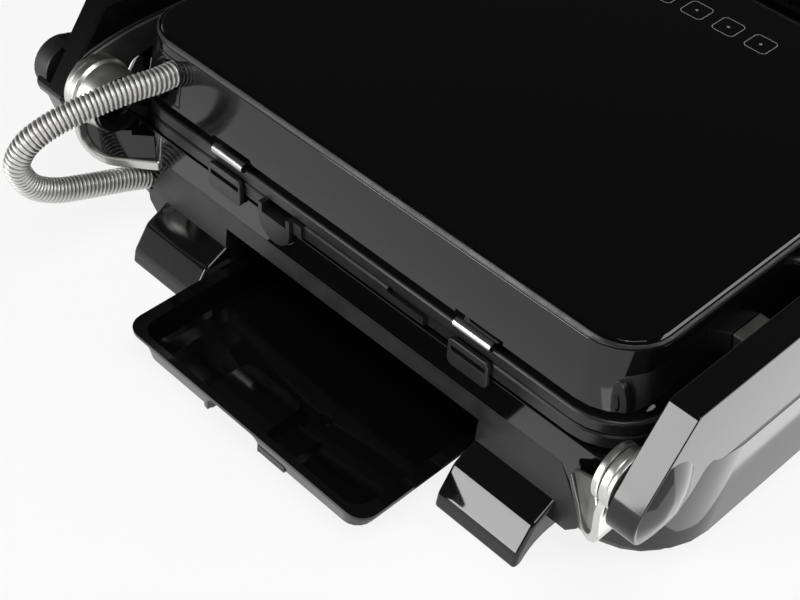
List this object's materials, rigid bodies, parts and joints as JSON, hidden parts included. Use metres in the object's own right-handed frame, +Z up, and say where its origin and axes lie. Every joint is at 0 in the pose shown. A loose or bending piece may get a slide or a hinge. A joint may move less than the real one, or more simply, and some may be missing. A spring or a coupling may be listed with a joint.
{
  "type": "electric griddle",
  "caption": "Electric contact grill: closed ribbed plates under a black glass lid, U-shaped handle on rear hinges, armoured conduit, drip tray drawn out at the rear.",
  "frame": {"origin": "on the table under the middle of the whole object, with the drip tray drawn out", "axes": "+Z up; -Y the front with the grip; +X the right-hand side seen from the front, where the conduit and the hinge release button are"},
  "size_m": [0.3862, 0.371, 0.1188],
  "materials": {
    "glossy_plastic": "high gloss black",
    "matt_plastic": "fine matt black",
    "glass": "polished black tempered glass",
    "cast_plate": "cast, black non-stick coating",
    "die_cast": "satin die-cast",
    "chrome": "bright",
    "steel": "satin steel",
    "black_steel": "black powder coat",
    "rubber": "matt",
    "board": "printed circuit board"
  },
  "bodies": {
    "base": {"base_shell": "glossy_plastic", "base_pan": "matt_plastic", "lower_plate": "cast_plate", "lower_heater": "steel", "lower_reflector": "steel", "power_board": "board", "cord_gland": "rubber", "base_screw_1": "steel", "base_screw_2": "steel", "base_screw_3": "steel", "base_screw_4": "steel", "rear_foot_left": "glossy_plastic", "rear_foot_right": "glossy_plastic", "front_foot_left": "rubber", "front_foot_right": "rubber", "plate_tongue_left": "matt_plastic", "plate_tongue_right": "matt_plastic", "hinge_bracket_left": "die_cast", "hinge_bracket_right": "die_cast", "hinge_post_left": "matt_plastic", "hinge_post_right": "matt_plastic", "hinge_drum_left": "die_cast", "hinge_drum_right": "die_cast", "hinge_pin_left": "steel", "hinge_pin_right": "steel", "conduit": "steel", "conduit_bush_base": "matt_plastic"},
    "lid": {"lid_cover": "glossy_plastic", "conduit_cover": "glossy_plastic", "glass_top": "glass", "glass_frame": "steel", "lid_liner": "matt_plastic", "upper_plate": "cast_plate", "upper_heater": "steel", "upper_reflector": "steel", "control_board": "board", "plate_clip_left": "chrome", "plate_clip_right": "chrome", "lid_hinge_left": "black_steel", "lid_hinge_right": "black_steel", "lid_pin_left": "chrome", "lid_pin_right": "chrome", "conduit_bush_lid": "matt_plastic"},
    "handle": {"arm_left": "glossy_plastic", "arm_right": "glossy_plastic", "grip_bar": "glossy_plastic", "hinge_spring": "steel"},
    "hinge_button": {"hinge_button": "matt_plastic"},
    "drip_tray": {"drip_tray": "glossy_plastic"},
    "upper_release": {"plate_release_upper": "matt_plastic"},
    "lower_release": {"plate_release_lower": "matt_plastic"}
  },
  "joints": [
    {"name": "lid_hinge", "type": "hinge", "parent": "base", "child": "lid", "pos_m": [-0.00275, 0.12247, 0.082], "axis": [-1, 0, 0], "range_deg": [0, 100], "deforming": ["conduit"]},
    {"name": "handle_float", "type": "hinge", "parent": "lid", "child": "handle", "pos_m": [-0.00275, 0.12247, 0.082], "axis": [-1, 0, 0], "range_deg": [0, 6]},
    {"name": "hinge_release", "type": "slide", "parent": "handle", "child": "hinge_button", "axis": [-1, 0, 0], "range_m": [0, 0.003], "stiffness_N_per_m": 400, "springref_m": -0.002, "deforming": ["hinge_spring"]},
    {"name": "tray_slide", "type": "slide", "parent": "base", "child": "drip_tray", "axis": [0, 1, 0], "range_m": [-0.064, 0.1]},
    {"name": "upper_plate_release", "type": "slide", "parent": "lid", "child": "upper_release", "axis": [0, 1, 0], "range_m": [0, 0.003], "stiffness_N_per_m": 400, "springref_m": -0.002},
    {"name": "lower_plate_release", "type": "slide", "parent": "base", "child": "lower_release", "axis": [0, 1, 0], "range_m": [0, 0.003], "stiffness_N_per_m": 400, "springref_m": -0.002}
  ]
}
